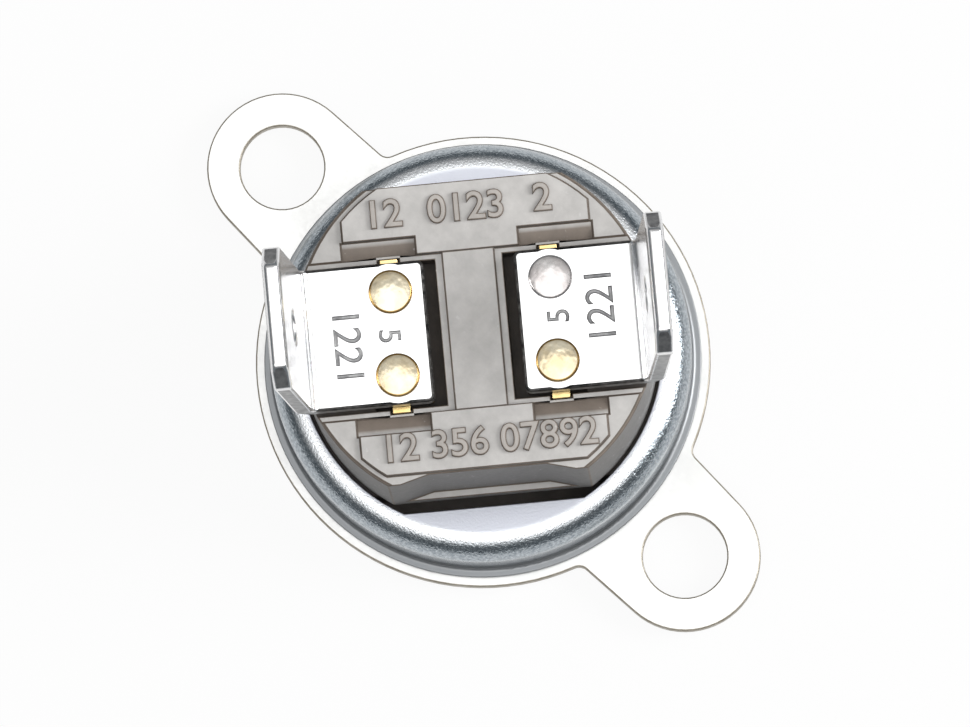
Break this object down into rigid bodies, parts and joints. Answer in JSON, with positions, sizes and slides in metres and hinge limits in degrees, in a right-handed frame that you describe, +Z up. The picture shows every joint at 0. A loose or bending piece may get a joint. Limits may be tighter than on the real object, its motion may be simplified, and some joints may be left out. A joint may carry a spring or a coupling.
{
  "type": "bimetal thermostat",
  "caption": "Round snap-disc temperature switch: drawn metal shell on a two-ear flange, moulded base, two upright push-on tabs and a flat sensing face underneath.",
  "frame": {"origin": "centre of the flat sensing face, which is the lowest face of the part", "axes": "+Z up the axis towards the tips of the tabs, +X from the axis through one of the two flange holes"},
  "size_m": [0.0322, 0.0204, 0.0207],
  "materials": {
    "flange_steel": "bright zinc plate",
    "cup_aluminium": "drawn sheet, satin",
    "disc_metal": "rolled bimetal",
    "guide_plastic": "moulded, matt",
    "pin_ceramic": "fired ceramic",
    "shell_steel": "drawn plated sheet, fine grain",
    "base_plastic": "moulded, semi-matt",
    "tab_plating": "bright tin plate",
    "rivet_brass": "formed, bright",
    "strip_brass": "rolled strip",
    "contact_silver": "turned silver",
    "arm_bronze": "rolled spring strip"
  },
  "bodies": {
    "housing": {"mounting_flange": "flange_steel", "sensing_cup": "cup_aluminium", "snap_disc": "disc_metal", "pin_guide": "guide_plastic", "metal_shell": "shell_steel", "switch_base": "base_plastic", "left_terminal": "tab_plating", "right_terminal": "tab_plating", "left_rivets": "rivet_brass", "right_rivets": "rivet_brass", "left_carrier": "strip_brass", "right_carrier": "strip_brass", "fixed_contact": "contact_silver"},
    "pin": {"transfer_pin": "pin_ceramic"},
    "arm": {"contact_arm": "arm_bronze", "moving_contact": "contact_silver"}
  },
  "joints": [
    {"name": "pin_slide", "type": "slide", "parent": "housing", "child": "pin", "axis": [0, 0, 1], "range_m": [0, 0.0004], "deforming": ["snap_disc"]},
    {"name": "arm_flex", "type": "hinge", "parent": "housing", "child": "arm", "pos_m": [0.00221, 0.00259, 0.0076], "axis": [-0.7604, 0.6494, 0], "range_deg": [0, 6.8], "stiffness_Nm_per_rad": 0.01}
  ],
  "couplings": [
    {"joint": "arm_flex", "follows": "pin_slide", "rad_per_m": 294.1}
  ]
}
